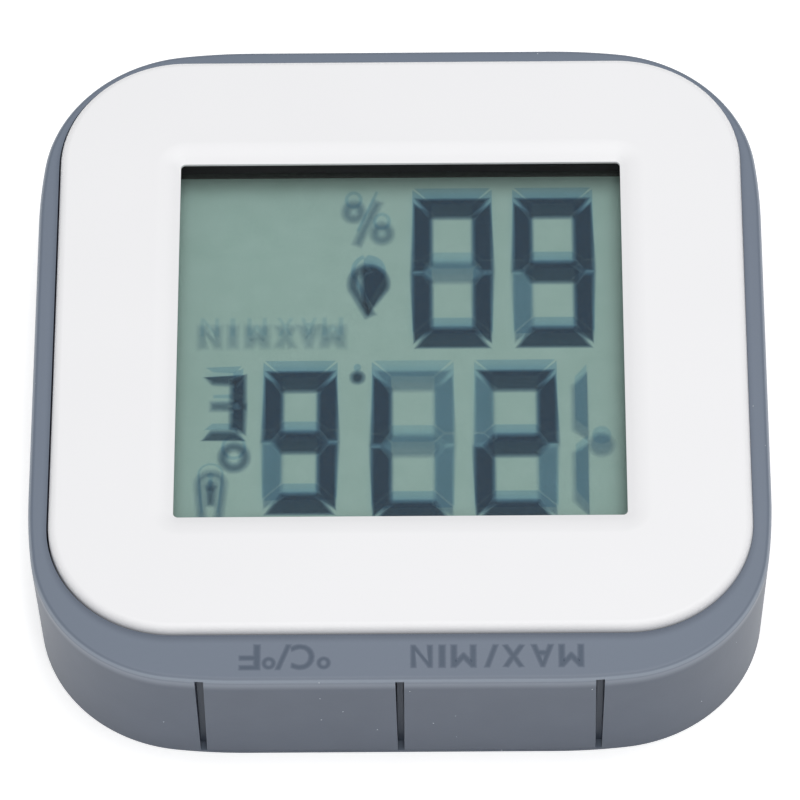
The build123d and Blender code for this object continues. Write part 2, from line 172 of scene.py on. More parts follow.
# Studio: emission of the floor and the surround, how far the floor lies under the object,
# its half width, the point that the lamps face, and each lamp's place, size and watts
floor_glow = 0.48
floor_gap = 0.02 * mm
floor_reach = 1.5
surround = 0.24
lamp_aim = (0, 0, 0.006)
lamps = (
    ("overhead softbox", (0.06, 0.07, 0.6), (0.4, 0.4), 2.2),
    ("front softbox", (0.02, -0.36, 0.55), (0.3, 0.2), 1.0),
)
# The display has eight clear faces, and light has to come back out through them
clear_bounces = 32

# Camera, as solved from the photograph's traced outlines: its target in millimetres on the
# floor, and its lens and sensor in millimetres
camera_elevation = math.radians(56.72)
camera_azimuth = math.radians(1.05)
camera_roll = math.radians(-1.25)
camera_distance = 529.3 * mm
camera_target = (-0.11, 3.31, 0)
camera_lens = 284.8
camera_sensor = 36
camera_clip = 0.05

# Lettering on the shoulder, in millimetres. v is its middle, counted towards the near side.
# A weight moves a letter's outline, in shares of the letter.
label_v = 28.7
label_lift = 0.006 * mm
label_fade = 0.22 * mm
unit_cap, unit_weight = 2.06, -0.02
range_cap, range_weight = 1.82, -0.012
# Each letter with its left and right edge on X, its height and its lift as shares of the cap
unit_cells = (
    ("\u00b0", -6.42, -5.62, 0.42, 0.56), ("C", -8.5, -6.9, 1.0, 0.0), ("/", -9.7, -8.78, 1.0, 0.0),
    ("\u00b0", -10.78, -9.98, 0.42, 0.56), ("F", -12.6, -11.2, 1.0, 0.0),
)
range_cells = (
    ("M", 12.76, 14.48, 1.0, 0.0), ("A", 10.6, 12.06, 1.0, 0.0), ("X", 8.3, 9.78, 1.0, 0.0),
    ("/", 6.9, 7.66, 1.0, 0.0), ("M", 4.2, 5.94, 1.0, 0.0), ("I", 3.24, 3.5, 1.0, 0.0),
    ("N", 1.02, 2.48, 1.0, 0.0),
)

# Display, in millimetres as it is read: u to the right and v up from the middle of the
# footprint, turned half round from X and Y. Each digit has its left and right edges and
# the middles of its top, middle and bottom bars.
lit = 1.0
faint = 0.36
big_digits = (
    ("2", -12.95, -6.0, 13.75, 7.35, 0.95),
    ("7", -4.5, 2.4, 13.75, 7.35, 0.95),
    ("6", 5.05, 11.3, 12.95, 6.95, 0.95),
    ("6", -16.15, -9.3, -3.2, -9.75, -16.3),
    ("0", -7.75, -0.95, -3.2, -9.75, -16.3),
)
lit_bars = {"2": "ABGED", "7": "ABC", "6": "AFGECD", "0": "ABCDEF"}
level_bars = "ADG"
bar_width = 1.6
bar_gap = 0.13
bar_inset = 0.06
# The glass of the thermometer sign: down its left side, round its bulb and up again
bulb_turns = [math.radians(15 * step) for step in range(13)]
glass_line = (
    (14.75, 14.8), (14.55, 12.8),
    *((15.4 - 0.98 * math.cos(turn), 11.2 - 1.0 * math.sin(turn)) for turn in bulb_turns),
    (16.25, 12.8), (16.05, 14.8),
)
# Small marks in drawing order, each with its ink: a bar by its corners, a ring by its middle,
# radii and stretch along v, and a line by its points and width
small_marks = (
    # Unlit hundreds figure and minus sign
    ("bar", faint, ((-15.3, 0.7), (-14.4, 1.9), (-14.4, 6.0), (-15.3, 6.9))),
    ("bar", faint, ((-15.3, 7.7), (-14.4, 8.5), (-14.4, 12.9), (-15.3, 14.2))),
    ("ring", faint, (-16.45, 7.6), (0.72,), 1.1),
    # Decimal point
    ("ring", lit, (3.5, 0.85), (0.22,), 1.2),
    # Thermometer: glass, bulb and thread
    ("line", 0.42 * lit, glass_line, 0.05),
    ("ring", 0.5 * lit, (15.4, 11.3), (0.2,)),
    ("bar", 0.75 * lit, ((15.3, 11.7), (15.5, 11.7), (15.43, 12.9), (15.37, 12.9))),
    # Degree ring and the bars of the unit's letter
    ("ring", 0.62 * lit, (13.55, 8.6), (0.96, 0.84), 1.15),
    ("bar", lit, ((12.95, 3.85), (13.6, 4.0), (13.6, 5.6), (12.95, 5.9))),
    ("bar", lit, ((12.95, 1.0), (13.6, 1.3), (13.6, 3.2), (12.95, 3.45))),
    ("bar", 0.85 * lit, ((13.0, 6.85), (15.9, 6.85), (15.3, 6.35), (13.5, 6.35))),
    ("bar", 0.6 * lit, ((13.8, 3.75), (15.2, 3.7), (15.2, 3.55), (13.8, 3.5))),
    ("bar", 0.9 * lit, ((13.1, 0.7), (15.9, 0.8), (15.3, 1.15), (13.6, 1.25))),
)
percent_sign = (
    ("ring", 0.42 * lit, (1.51, -13.75), (0.68, 0.52), 1.2),
    ("ring", 0.42 * lit, (3.87, -15.95), (0.68, 0.52), 1.2),
    ("line", 0.42 * lit, ((3.5, -12.85), (1.95, -16.7)), 0.12),
)
# Drop: the middle and radii of its round part, the degrees that it covers on the right,
# the tip, the edge of the dark side, and the rim of the pale one
drop_middle = (2.62, -8.7)
drop_radii = (1.38, 1.55)
drop_degrees = range(-90, 30, 10)
drop_tip = -5.75
drop_waist = ((2.82, -6.9), (2.92, -8.2), (2.92, -9.9))
drop_rim_start = 2
drop_rim_share = 0.93
drop_rim_width = 0.2
drop_rim_ink = 0.75 * lit
# Unlit words under the temperature, each letter with its left and right edge
word_foot = -4.05
word_cap = 1.68
word_ink = 0.62 * faint
window_words = (
    ("M", 4.75, 6.35), ("A", 6.95, 8.1), ("X", 8.85, 10.05),
    ("M", 11.05, 12.55), ("I", 13.65, 13.95), ("N", 15.0, 16.4),
)
shadow_lift = 0.012 * mm
# The least number that a faded corner's shift is divided by, which keeps sharp corners short
mitre_limit = 0.7

# One level of flat marks: its bmesh, its ink layer, its height and its shift along v
Level = namedtuple("Level", "bm ink height shift")


def linear(hex_colour):
    """An sRGB hex colour as the linear colour that a shader takes."""
    value = hex_colour.lstrip("#")
    channels = [int(value[at:at + 2], 16) / 255 for at in (0, 2, 4)]
    return [c / 12.92 if c <= 0.04045 else ((c + 0.055) / 1.055) ** 2.4 for c in channels] + [1.0]


def add(tree, kind, inputs=None, **settings):
    """Adds a shader node, sets it up and links it. An input is a value or another node's output."""
    made = tree.nodes.new("ShaderNode" + kind)
    for name, value in settings.items():
        setattr(made, name, value)
    for name, value in (inputs or {}).items():
        if isinstance(value, bpy.types.NodeSocket):
            tree.links.new(value, made.inputs[name])
        else:
            made.inputs[name].default_value = value
    return made


def ramp(tree, value, low, high, start=0.0, end=1.0, shape="LINEAR"):
    """A value between low and high carried to start and end, and held beyond them."""
    ends = {"Value": value, "From Min": low, "From Max": high, "To Min": start, "To Max": end}
    return add(tree, "MapRange", ends, interpolation_type=shape).outputs["Result"]


def worked(tree, operation, *values, kind="Math", **settings):
    """The first result of a Math or VectorMath node."""
    return add(tree, kind, dict(enumerate(values)), operation=operation, **settings).outputs[0]


def blended(tree, share, first, second):
    """Two colours mixed by a share. Each is an sRGB hex colour or another node's output."""
    pair = [linear(colour) if isinstance(colour, str) else colour for colour in (first, second)]
    mixed = add(tree, "Mix", {"Factor": share, "A": pair[0], "B": pair[1]}, data_type="RGBA")
    return mixed.outputs["Result"]


def noise(tree, place, scale, detail):
    """A noise in object space, with this many waves to the metre."""
    return add(tree, "TexNoise", {"Vector": place, "Scale": scale, "Detail": detail}).outputs["Fac"]


def moulded(
    name, colour, shade, roughness, grain, relief, metallic=0.0, specks=None, painted_light=None, **settings
):
    """A material with a surface grain of a real size, mottled between two close colours.

    grain is the width of its grains and relief their height, in metres. painted_light has the
    colour of a painted highlight on the arris and of painted light on faces that look up, and
    specks the spacing, size and colour of lint.
    """
    material = bpy.data.materials.new(name)
    material.use_nodes = True
    tree = material.node_tree
    surface = tree.nodes["Principled BSDF"]
    place = add(tree, "TexCoord").outputs["Object"]
    grit = noise(tree, place, grit_scale / grain, grit_detail)
    cloud = noise(tree, place, mottle_scale / grain, soft_detail)
    tint = blended(tree, ramp(tree, cloud, *mottle_range), colour, shade)
    # Painted highlight, painted light and painted shade on the sleeve
    if painted_light:
        tint = painted_sleeve_light(tree, place, tint, *painted_light)
    if specks:
        tint = linted(tree, place, tint, *specks)
    tree.links.new(tint, surface.inputs["Base Color"])
    bump = add(tree, "Bump", {"Height": grit, "Distance": relief, "Strength": 1.0})
    tree.links.new(bump.outputs["Normal"], surface.inputs["Normal"])
    surface.inputs["Roughness"].default_value = roughness
    surface.inputs["Metallic"].default_value = metallic
    for key, value in settings.items():
        surface.inputs[key.replace("_", " ")].default_value = value
    return material


def from_plate(tree, place):
    """How far a point lies outside the straight middle part of the plate's rounded outline.

    On the outline itself, a square with round corners, this is the corner radius.
    """
    half_width, half_length = plate_width / 2, (plate_high[1] - plate_low[1]) / 2
    # The outline is moved towards the near side, so that the painted shade beside the plate is widest there
    # and missing at the far side
    middle = ((plate_low[0] + plate_high[0]) / 2, (plate_low[1] + plate_high[1]) / 2 - plate_shade_shift, 0)
    straight = (half_width - plate_corner_radius, half_length - plate_corner_radius, 0)
    flat = worked(tree, "MULTIPLY", place, (1, 1, 0), kind="VectorMath")
    aside = worked(tree, "SUBTRACT", flat, middle, kind="VectorMath")
    folded = worked(tree, "ABSOLUTE", aside, kind="VectorMath")
    beyond = worked(tree, "SUBTRACT", folded, straight, kind="VectorMath")
    clipped = worked(tree, "MAXIMUM", beyond, (0, 0, 0), kind="VectorMath")
    return add(tree, "VectorMath", {0: clipped}, operation="LENGTH").outputs["Value"]


def painted_sleeve_light(tree, place, tint, highlight_colour, lit_top_colour):
    """Painted highlight on the arris and upper wall, and painted light on the faces that look up.

    The painted light fades out beside the plate as painted shade, most on the near side.
    """
    facing = add(tree, "SeparateXYZ", {"Vector": add(tree, "NewGeometry").outputs["Normal"]}).outputs["Z"]
    height = add(tree, "SeparateXYZ", {"Vector": place}).outputs["Z"]
    # Painted highlight where a face turns from upright towards up, and on the upper wall
    rising = ramp(tree, facing, *rising_normals)
    upper = ramp(tree, height, highlight_foot, highlight_top, end=highlight_share, shape="SMOOTHSTEP")
    highlighted = worked(tree, "MAXIMUM", rising, upper)
    # Painted shade beside the plate: the painted light fades out towards the plate
    plate_shade_start = plate_corner_radius - plate_shade_shift
    away = ramp(
        tree, from_plate(tree, place), plate_shade_start, plate_shade_start + plate_shade_width, start=plate_shade_share, shape="SMOOTHSTEP"
    )
    # Painted light on the faces that look up
    lying = ramp(tree, facing, *lying_normals)
    lit_top = worked(tree, "MULTIPLY", lying, away)
    shoulder = worked(tree, "SUBTRACT", highlighted, lying, use_clamp=True)
    return blended(tree, lit_top, blended(tree, shoulder, tint, highlight_colour), lit_top_colour)


def linted(tree, place, tint, spacing, size, colour):
    """Lint: pale specks of a few hundredths of a millimetre, scattered far apart."""
    cells = add(tree, "TexVoronoi", {"Vector": place, "Scale": 1 / spacing})
    near = worked(tree, "LESS_THAN", cells.outputs["Distance"], size / spacing)
    pick = add(tree, "SeparateColor", {"Color": cells.outputs["Color"]}).outputs["Red"]
    few = worked(tree, "GREATER_THAN", pick, bare_share_of_cells)
    return blended(tree, worked(tree, "MULTIPLY", near, few), tint, colour)


def clear_material(name):
    """A material without the Principled shader, and its node tree."""
    material = bpy.data.materials.new(name)
    material.use_nodes = True
    tree = material.node_tree
    tree.nodes.remove(tree.nodes["Principled BSDF"])
    return material, tree


def show(tree, shader):
    """Gives a material its surface shader."""
    tree.links.new(shader.outputs[0], tree.nodes["Material Output"].inputs["Surface"])


def clear_sheet(name, colour, haze, haze_colour, gloss, gloss_roughness):
    """A sheet that light goes straight through, with a little haze and a dull gloss."""
    material, tree = clear_material(name)
    place = add(tree, "TexCoord").outputs["Object"]
    cloudy = ramp(tree, noise(tree, place, 1 / haze_grain, soft_detail), *mottle_range, end=2.0 * haze)
    through = add(tree, "BsdfTransparent", {"Color": linear(colour)})
    dull = add(tree, "BsdfDiffuse", {"Color": linear(haze_colour)})
    misty = add(tree, "MixShader", {0: cloudy, 1: through.outputs[0], 2: dull.outputs[0]})
    shine = add(tree, "BsdfGlossy", {"Roughness": gloss_roughness})
    edge = add(tree, "LayerWeight", {"Blend": gloss})
    show(tree, add(tree, "MixShader", {0: edge.outputs["Fresnel"], 1: misty.outputs[0], 2: shine.outputs[0]}))
    return material


def dye_and_shade_film(name, pale, deep):
    """A clear film that filters light as deep as the piece's own ink attribute says.

    It is the crystal's dye, the painted shadow of the marks on the reflector film and the
    painted shade of the shoulder lettering. pale is the filter's colour at the faint level and
    deep its colour where it is lit.
    """
    material, tree = clear_material(name)
    place = add(tree, "TexCoord").outputs["Object"]
    ink = add(tree, "Attribute", attribute_name="ink").outputs["Fac"]
    grainy = ramp(tree, noise(tree, place, 1 / ink_grain, soft_detail), 0.0, 1.0, *ink_range)
    depth = worked(tree, "MULTIPLY", ink, grainy)
    paled = blended(tree, ramp(tree, depth, 0.0, faint), "#ffffff", pale)
    filter_colour = blended(tree, ramp(tree, ink, faint, 1.0), paled, deep)
    show(tree, add(tree, "BsdfTransparent", {"Color": filter_colour}))
    return material


def keep(bm, name, material, body="case", covers=(), angle=crisp_angle):
    """Closes a bmesh into a finished piece with its shading, material and body."""
    mesh = bpy.data.meshes.new(name)
    bm.to_mesh(mesh)
    bm.free()
    obj = bpy.data.objects.new(name, mesh)
    bpy.context.scene.collection.objects.link(obj)
    mesh.materials.clear()
    mesh.materials.append(material)
    mesh.shade_smooth()
    mesh.set_sharp_from_angle(angle=math.radians(angle))
    weighted = obj.modifiers.new("weighted normals", "WEIGHTED_NORMAL")
    weighted.keep_sharp = True
    if covers:
        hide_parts(*covers)
    if body:
        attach(obj, body)
    return obj


def merged_copy(node, name, material, body="case"):
    """The CAD node's own surface with its doubles merged and its curves smooth."""
    bm = bmesh.new()
    bm.from_mesh(nodes[node].data)
    bmesh.ops.remove_doubles(bm, verts=bm.verts, dist=fine_weld)
    return keep(bm, name, material, body, (node,))


def cut(bm, tool, operation="DIFFERENCE"):
    """Cuts a closed bmesh with another one and gives back the result."""
    pair = []
    for source in (bm, tool):
        mesh = bpy.data.meshes.new("cut")
        bmesh.ops.recalc_face_normals(source, faces=source.faces)
        source.to_mesh(mesh)
        source.free()
        obj = bpy.data.objects.new("cut", mesh)
        bpy.context.scene.collection.objects.link(obj)
        pair.append(obj)
    modifier = pair[0].modifiers.new("cut", "BOOLEAN")
    modifier.object = pair[1]
    modifier.operation = operation
    modifier.solver = "EXACT"
    graph = bpy.context.evaluated_depsgraph_get()
    result = bmesh.new()
    result.from_mesh(pair[0].evaluated_get(graph).data)
    for obj in pair:
        bpy.data.objects.remove(obj)
    return result


def block(low, high):
    """A box between two corners."""
    bm = bmesh.new()
    bmesh.ops.create_cube(bm, size=1)
    low, high = Vector(low), Vector(high)
    bmesh.ops.scale(bm, vec=high - low, verts=bm.verts)
    bmesh.ops.translate(bm, vec=(low + high) / 2, verts=bm.verts)
    return bm


def bevelled(bm, edges, radius, segments):
    """Rounds edges."""
    bmesh.ops.bevel(
        bm, geom=edges, offset=radius, offset_type="OFFSET", segments=segments, profile=0.5,
        affect="EDGES", material=-1,
    )


def rounded_block(width, length, radius, low, high, y):
    """A box with rounded upright edges."""
    bm = block((-width / 2, y - length / 2, low), (width / 2, y + length / 2, high))
    upright = [e for e in bm.edges if abs(e.verts[0].co.z - e.verts[1].co.z) > (high - low) / 2]
    bevelled(bm, upright, radius, upright_steps)
    return bm


def sleeve_blank():
    """The outside of the sleeve: eased corners, a slight draft and a soft arris."""
    bm = bmesh.new()
    half_width = sleeve_width / 2
    half_length = sleeve_length / 2
    lean = math.sin(ease_angle), math.cos(ease_angle)
    reach = ease_radius * (lean[0] + 1 - lean[1]) + corner_radius * (lean[1] - lean[0])
    first = bm.verts.new((0, half_length, sleeve_top))
    start = bm.verts.new((half_width - reach, half_length, sleeve_top))
    bm.edges.new((first, start))
    ease = (ease_radius, ease_angle, ease_steps)
    corner = (corner_radius, math.pi / 2 - 2 * ease_angle, corner_steps)
    turned = 0.0
    for radius, angle, steps in (ease, corner, ease):
        centre = start.co - Vector((math.sin(turned), math.cos(turned), 0)) * radius
        spun = bmesh.ops.spin(bm, geom=[start], cent=centre, axis=(0, 0, -1), angle=angle, steps=steps)
        start = [g for g in spun["geom_last"] if isinstance(g, bmesh.types.BMVert)][0]
        turned += angle
    last = bm.verts.new((half_width, 0, sleeve_top))
    bm.edges.new((start, last))
    for axis in ("X", "Y"):
        bmesh.ops.mirror(bm, geom=bm.verts[:] + bm.edges[:], axis=axis, merge_dist=weld)
        bmesh.ops.remove_doubles(bm, verts=bm.verts, dist=weld)
    bmesh.ops.edgeloop_fill(bm, edges=bm.edges)
    foot = bmesh.ops.extrude_face_region(bm, geom=bm.faces[:])["geom"]
    foot = [g for g in foot if isinstance(g, bmesh.types.BMVert)]
    shrink = 2 * sleeve_top * math.tan(draft_angle)
    size = (1 - shrink / sleeve_width, 1 - shrink / sleeve_length, 1)
    bmesh.ops.scale(bm, vec=size, verts=foot)
    bmesh.ops.translate(bm, vec=(0, 0, -sleeve_top), verts=foot)
    bmesh.ops.recalc_face_normals(bm, faces=bm.faces)
    rim = [e for e in bm.edges if min(v.co.z for v in e.verts) > sleeve_top - weld]
    bevelled(bm, rim, arris_radius, rim_steps)
    return bm


def slit(x, low):
    """The wedge-shaped cut beside a flap, wider at the top."""
    half = slit_top_width / 2
    bm = block((x - half, near_wall - overrun, low), (x + half, near_wall + flap_thickness, slit_top))
    foot = [v for v in bm.verts if v.co.z < (low + slit_top) / 2]
    share = slit_foot_width / slit_top_width
    bmesh.ops.scale(bm, vec=(share, 1, 1), verts=foot, space=Matrix.Translation((-x, 0, 0)))
    return bm


def face_plate(material):
    """The white front, with its rounded rim and the soft dish round the window."""
    foot = plate_top - plate_depth
    bm = rounded_block(plate_width, plate_length, plate_corner_radius, foot, plate_top, plate_middle)
    rim = [e for e in bm.edges if min(v.co.z for v in e.verts) > plate_top - weld]
    bevelled(bm, rim, plate_edge_radius, rim_steps)
    wall = 2 * plate_wall
    inside = rounded_block(
        plate_width - wall, plate_length - wall, plate_corner_radius - plate_wall,
        foot - overrun, plate_top - plate_thickness, plate_middle,
    )
    bm = cut(bm, inside)
    window = [side - 2 * gasket_width for side in gasket_size]
    window_y = gasket_middle + window_shift
    bm = cut(bm, rounded_block(*window, window_corner, foot, plate_top + overrun, window_y))
    seat = [side + 2 * gasket_width + 2 * gasket_gap for side in window]
    lip_foot = plate_top - dish_drop - window_lip
    bm = cut(bm, rounded_block(*seat, window_corner, foot - overrun, lip_foot, window_y))
    bm = cut(bm, dish_cutter(window, window_y))
    reach = [side / 2 + dish_search * dish_width for side in window]
    soft = [
        e for e in bm.edges
        if min(v.co.z for v in e.verts) > plate_top - weld
        and all(abs(v.co.x) < reach[0] and abs(v.co.y - window_y) < reach[1] for v in e.verts)
        and e.calc_face_angle(0) > dish_turn
    ]
    bevelled(bm, soft, dish_edge, dish_steps)
    bmesh.ops.translate(bm, vec=(plate_shift, 0, 0), verts=bm.verts)
    return keep(bm, "white_face_plate", material, "case", ("face_plate",), plate_crisp_angle)


def dish_cutter(window, window_y):
    """The block that cuts the dish: the window at its foot, widening above the plate."""
    dish = rounded_block(*window, window_corner, plate_top - dish_drop, plate_top + dish_drop, window_y)
    across, along = [side / 2 - window_corner for side in window]
    for vert in [v for v in dish.verts if v.co.z > plate_top]:
        x = math.copysign(across, vert.co.x)
        y = window_y + math.copysign(along, vert.co.y - window_y)
        centre = Vector((x, y, vert.co.z))
        vert.co = centre + (vert.co - centre) * (1 + 2 * dish_width / window_corner)
    return dish


def window_gasket(material):
    """The black frame that reaches from the display up to the lip of the window."""
    inner = [side - 2 * gasket_width + 2 * gasket_recess for side in gasket_size]
    foot = gasket_low[2]
    ceiling = plate_top - dish_drop - window_lip - gasket_gap
    bm = rounded_block(*gasket_size, window_corner, foot, ceiling, gasket_middle)
    opening = rounded_block(
        *inner, window_corner, foot - overrun, ceiling + overrun, gasket_middle + window_shift
    )
    bm = cut(bm, opening)
    return keep(bm, "black_window_gasket", material, "case", ("lcd_gasket",))


def web_at_slit(bm, x):
    """The thin web that closes the inner half of a slit, from the sill to the shoulder."""
    low = Vector((x - slit_foot_width / 2, near_wall + web_depth, sill_top))
    high = Vector((x + slit_foot_width / 2, near_wall + flap_thickness, case_top))
    place = Matrix.Translation((low + high) / 2) @ Matrix.Diagonal((*(high - low), 1))
    bmesh.ops.create_cube(bm, size=1, matrix=place)


def rubber_sleeve(material):
    """One moulding with the openings for the plate and the case, and the flaps cut free."""
    case_middle = (plate_far + case_near) / 2
    case_length = plate_far - case_near
    width = plate_width + 2 * sleeve_fit
    radius = plate_corner_radius + sleeve_fit
    plate_room = rounded_block(
        width, plate_length + 2 * sleeve_fit, radius, case_top - overrun, sleeve_top + overrun, plate_middle
    )
    case_room = rounded_block(
        width, case_length + 2 * sleeve_fit, radius, rear_lip_thickness, case_top, case_middle
    )
    bm = cut(cut(sleeve_blank(), plate_room), case_room)
    lip = 2 * rear_lip_width
    opening = rounded_block(
        plate_width - lip, case_length - lip, plate_corner_radius - rear_lip_width,
        -overrun, 2 * overrun, case_middle,
    )
    bm = cut(bm, opening)
    span = flap_pitch + slit_foot_width / 2
    front = (near_wall - overrun, near_wall + flap_thickness)
    bm = cut(bm, block((-span, front[0], sill_top), (span, front[1], flap_seam)))
    pocket_low = (-span, front[1] - pocket_overlap, sill_top)
    bm = cut(bm, block(pocket_low, (span, case_near + pocket_reach, case_top)))
    for x in (-flap_pitch, 0, flap_pitch):
        bm = cut(bm, slit(x, sill_top))
    for x in (-flap_pitch, 0, flap_pitch):
        web_at_slit(bm, x)
    return keep(bm, "silicone_sleeve", material, "case", ("rubber_sleeve",))


def push_flap(name, left, covers, material):
    """The free part of the near wall between two slits, with the nub that meets the switch."""
    right = left + flap_pitch
    low = (left, near_wall - overrun, flap_foot)
    high = (right, near_wall + flap_thickness, flap_seam)
    bm = cut(sleeve_blank(), block(low, high), "INTERSECT")
    for x in (left, right):
        bm = cut(bm, slit(x, -overrun))
    for step in range(1, bend_loops):
        height = flap_seam + (bend_end - flap_seam) * step / bend_loops
        geometry = bm.verts[:] + bm.edges[:] + bm.faces[:]
        bmesh.ops.bisect_plane(bm, geom=geometry, dist=on_plane, plane_co=(0, 0, height), plane_no=(0, 0, 1))
    plunger_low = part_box(covers.replace("button", "switch_plunger"))[0]
    press_nub(bm, (left + right) / 2, near_wall + flap_thickness / 2, plunger_low[1] - nub_gap)
    obj = keep(bm, name, material, None, (covers,))
    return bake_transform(obj)


def press_nub(bm, x, root, tip):
    """The round nub behind a flap, with a domed end."""
    nub = bmesh.new()
    start = nub.verts.new((x, tip, nub_height))
    swing = math.asin(nub_radius / nub_dome_radius)
    dome = Vector((x, tip - nub_dome_radius, nub_height))
    bmesh.ops.spin(nub, geom=[start], cent=dome, axis=(1, 0, 0), angle=swing, steps=dome_steps)
    rim = max(nub.verts, key=lambda vert: vert.co.z)
    foot = nub.verts.new((x, root, rim.co.z))
    nub.edges.new((rim, foot))
    axle = Vector((x, 0, nub_height))
    bmesh.ops.spin(
        nub, geom=nub.verts[:] + nub.edges[:], cent=axle, axis=(0, 1, 0), angle=2 * math.pi,
        steps=ring_steps, use_merge=True,
    )
    bmesh.ops.remove_doubles(nub, verts=nub.verts, dist=weld)
    bmesh.ops.holes_fill(nub, edges=nub.edges, sides=0)
    bmesh.ops.recalc_face_normals(nub, faces=nub.faces)
    mesh = bpy.data.meshes.new("nub")
    nub.to_mesh(mesh)
    nub.free()
    bm.from_mesh(mesh)
    bpy.data.meshes.remove(mesh)


def glyph(level, amount, letter, left, right, foot, cap, weight=0.0):
    """A letter or sign fitted to a cell in millimetres as read, as a flat face."""
    curve = bpy.data.curves.new(letter, "FONT")
    curve.body = letter
    curve.resolution_u = letter_steps
    curve.offset = weight
    drawn = bpy.data.objects.new(letter, curve)
    bpy.context.scene.collection.objects.link(drawn)
    mesh = bpy.data.meshes.new_from_object(drawn.evaluated_get(bpy.context.evaluated_depsgraph_get()))
    bpy.data.objects.remove(drawn)
    across = [v.co.x for v in mesh.vertices]
    along = [v.co.y for v in mesh.vertices]
    size = Vector((max(across) - min(across), max(along) - min(along), 1))
    stretch = Matrix.Diagonal(((right * mm - left * mm) / size.x, cap * mm / size.y, 1, 1))
    corner = Matrix.Translation((-min(across), -min(along), 0))
    cell = Matrix.Translation((left * mm, (foot + level.shift) * mm, level.height))
    mesh.transform(Matrix.Rotation(math.pi, 4, "Z") @ cell @ stretch @ corner)
    known = len(level.bm.verts)
    level.bm.from_mesh(mesh)
    level.bm.verts.ensure_lookup_table()
    for vert in level.bm.verts[known:]:
        vert[level.ink] = amount


def faded(level, width):
    """Carries every flat mark outwards by a width in which it fades to nothing."""
    bm = level.bm
    bmesh.ops.remove_doubles(bm, verts=bm.verts, dist=fine_weld)
    bmesh.ops.recalc_face_normals(bm, faces=bm.faces)
    for face in bm.faces:
        if face.normal.z < 0:
            face.normal_flip()
    rim = [e for e in bm.edges if e.is_boundary]
    outward = {}
    for edge in rim:
        loop = edge.link_loops[0]
        run = loop.link_loop_next.vert.co - loop.vert.co
        side = run.cross(Vector((0, 0, 1))).normalized()
        for vert in edge.verts:
            outward.setdefault(vert, []).append(side)
    shifts = {}
    for vert, sides in outward.items():
        total = sum(sides, Vector())
        shift = total * width / max(total.length_squared / len(sides), mitre_limit)
        shifts[vert.co.copy().freeze()] = shift
    for part in bmesh.ops.extrude_edge_only(bm, edges=rim)["geom"]:
        if isinstance(part, bmesh.types.BMVert):
            part.co += shifts[part.co.copy().freeze()]
            part[level.ink] = 0.0


def flat_mark(level, amount, corners):
    """One mark of the display from its corners as read."""
    verts = [level.bm.verts.new((-u * mm, -(v + level.shift) * mm, level.height)) for u, v in corners]
    for vert in verts:
        vert[level.ink] = amount
    level.bm.faces.new(verts)


def ring(level, amount, middle, radii, stretch=1.0):
    """A round mark, with a hole if it has a second radius."""
    u, v = middle
    centre = Matrix.Translation((-u * mm, -(v + level.shift) * mm, level.height))
    place = centre @ Matrix.Diagonal((1, stretch, 1, 1))
    edges = []
    for radius in radii:
        made = bmesh.ops.create_circle(
            level.bm, cap_ends=len(radii) == 1, segments=ring_steps, radius=radius * mm, matrix=place
        )
        edges += list({e for vert in made["verts"] for e in vert.link_edges})
        for vert in made["verts"]:
            vert[level.ink] = amount
    if len(radii) > 1:
        bmesh.ops.bridge_loops(level.bm, edges=edges)


def stroke(level, amount, points, width):
    """A line of one width through points as read."""
    flat = [Vector(point) for point in points]
    sides = []
    for here in range(len(flat)):
        run = (flat[min(here + 1, len(flat) - 1)] - flat[max(here - 1, 0)]).normalized()
        sides.append(Vector((-run.y, run.x)) * width / 2)
    corners = [point + side for point, side in zip(flat, sides)]
    corners += [point - side for point, side in zip(flat[::-1], sides[::-1])]
    flat_mark(level, amount, corners)


def upright_bar(letter, left, high, middle, low, thick, gap):
    """The corners of an upright bar at the left of a digit, upper or lower."""
    half = thick / 2
    if letter == "F":
        return [
            (left, high - gap), (left, middle + gap), (left + half, middle + gap),
            (left + thick, middle + half + gap), (left + thick, high - thick - gap),
        ]
    return [
        (left, low + gap), (left + thick, low + thick + gap), (left + thick, middle - half - gap),
        (left + half, middle - gap), (left, middle - gap),
    ]


def bar_corners(letter, left, right, top, middle, bottom, grow):
    """The corners of one bar of a seven-bar digit, mitred at 45 degrees."""
    thick = bar_width + 2 * grow
    half = thick / 2
    gap = bar_gap - grow
    left, right = left - grow + bar_inset, right + grow - bar_inset
    high, low = top + half, bottom - half
    if letter in "BC":
        mirrored = upright_bar("F" if letter == "B" else "E", left, high, middle, low, thick, gap)
        return [(left + right - u, v) for u, v in mirrored]
    if letter in "FE":
        return upright_bar(letter, left, high, middle, low, thick, gap)
    if letter == "G":
        ends = (left + half + gap, right - half - gap)
        inner = (left + thick + gap, right - thick - gap)
        upper, lower = middle + half, middle - half
        return [
            (ends[0], middle), (inner[0], lower), (inner[1], lower),
            (ends[1], middle), (inner[1], upper), (inner[0], upper),
        ]
    outer, inner = (high, high - thick) if letter == "A" else (low, low + thick)
    return [
        (left + gap, outer), (right - gap, outer),
        (right - thick - gap, inner), (left + thick + gap, inner),
    ]


def thickened(corners, spread):
    """A level bar that is taller by a spread, with its pointed ends as they were."""
    low, high = min(v for _, v in corners), max(v for _, v in corners)
    return [(u, v + (v - (low + high) / 2) * spread / (high - low)) for u, v in corners]


def droplet(level):
    """The falling drop beside the humidity reading: a dark side and a pale one with a rim."""
    middle, bottom = drop_middle
    turns = [math.radians(turn) for turn in drop_degrees]
    round_part = [(drop_radii[0] * math.cos(turn), bottom + drop_radii[1] * math.sin(turn)) for turn in turns]
    left = [(middle - across, v) for across, v in round_part] + [(middle, drop_tip)]
    right = [(middle + across, v) for across, v in round_part] + [(middle, drop_tip)]
    flat_mark(level, lit, left + list(drop_waist))
    rim = [(middle + drop_rim_share * (u - middle), v) for u, v in right[drop_rim_start:]]
    stroke(level, drop_rim_ink, rim, drop_rim_width)


